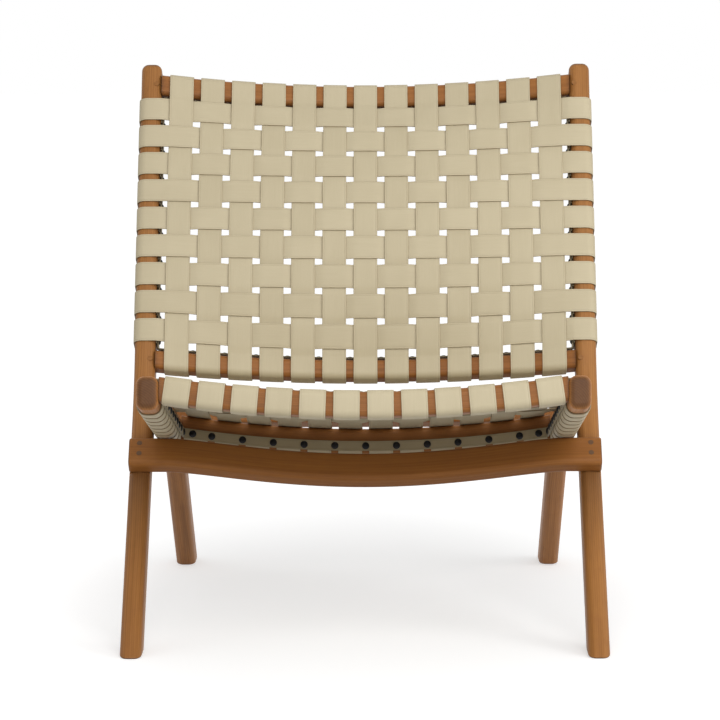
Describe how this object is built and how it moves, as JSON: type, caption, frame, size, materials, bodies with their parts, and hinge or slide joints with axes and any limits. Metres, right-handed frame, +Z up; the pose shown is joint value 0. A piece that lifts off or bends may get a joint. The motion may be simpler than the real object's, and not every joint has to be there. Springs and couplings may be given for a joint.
{
  "type": "lounge chair",
  "caption": "Low folding lounge chair: two bent wooden frames cross at a pivot, with back and seat woven from flat leather straps.",
  "frame": {"origin": "on the floor, under the middle of the chair's outline, seen from above", "axes": "+Z up, +X to the right seen from the front, the sitter faces -Y"},
  "size_m": [0.6244, 0.7904, 0.7295],
  "materials": {
    "wood": "oiled hardwood with a fine straight grain",
    "strap_leather": "pale matte leather with a crease along each edge",
    "strip_leather": "pale leather strip with black nail heads",
    "steel": "plain steel"
  },
  "bodies": {
    "back_frame": {"left_post": "wood", "right_post": "wood", "back_top_rail": "wood", "back_lower_rail": "wood", "front_apron": "wood", "back_warp_strap_01": "strap_leather", "back_warp_strap_02": "strap_leather", "back_warp_strap_03": "strap_leather", "back_warp_strap_04": "strap_leather", "back_warp_strap_05": "strap_leather", "back_warp_strap_06": "strap_leather", "back_warp_strap_07": "strap_leather", "back_warp_strap_08": "strap_leather", "back_warp_strap_09": "strap_leather", "back_warp_strap_10": "strap_leather", "back_warp_strap_11": "strap_leather", "back_warp_strap_12": "strap_leather", "back_warp_strap_13": "strap_leather", "back_weft_strap_01": "strap_leather", "back_weft_strap_02": "strap_leather", "back_weft_strap_03": "strap_leather", "back_weft_strap_04": "strap_leather", "back_weft_strap_05": "strap_leather", "back_weft_strap_06": "strap_leather", "back_weft_strap_07": "strap_leather", "back_weft_strap_08": "strap_leather", "back_weft_strap_09": "strap_leather", "back_cover_strip": "strip_leather"},
    "seat_frame": {"left_seat_bar": "wood", "right_seat_bar": "wood", "seat_front_rail": "wood", "seat_rear_rail": "wood", "rear_stretcher": "wood", "seat_warp_strap_01": "strap_leather", "seat_warp_strap_02": "strap_leather", "seat_warp_strap_03": "strap_leather", "seat_warp_strap_04": "strap_leather", "seat_warp_strap_05": "strap_leather", "seat_warp_strap_06": "strap_leather", "seat_warp_strap_07": "strap_leather", "seat_warp_strap_08": "strap_leather", "seat_warp_strap_09": "strap_leather", "seat_warp_strap_10": "strap_leather", "seat_warp_strap_11": "strap_leather", "seat_warp_strap_12": "strap_leather", "seat_weft_strap_01": "strap_leather", "seat_weft_strap_02": "strap_leather", "seat_weft_strap_03": "strap_leather", "seat_weft_strap_04": "strap_leather", "seat_weft_strap_05": "strap_leather", "seat_weft_strap_06": "strap_leather", "seat_weft_strap_07": "strap_leather", "seat_weft_strap_08": "strap_leather", "seat_weft_strap_09": "strap_leather", "seat_cover_strip": "strip_leather", "left_pivot_bolt": "steel", "left_pivot_sleeve": "steel", "right_pivot_bolt": "steel", "right_pivot_sleeve": "steel"}
  },
  "joints": [
    {"name": "fold", "type": "hinge", "parent": "back_frame", "child": "seat_frame", "pos_m": [0, -0.02609, 0.2589], "axis": [-1, 0, 0], "range_deg": [0, 75]}
  ]
}
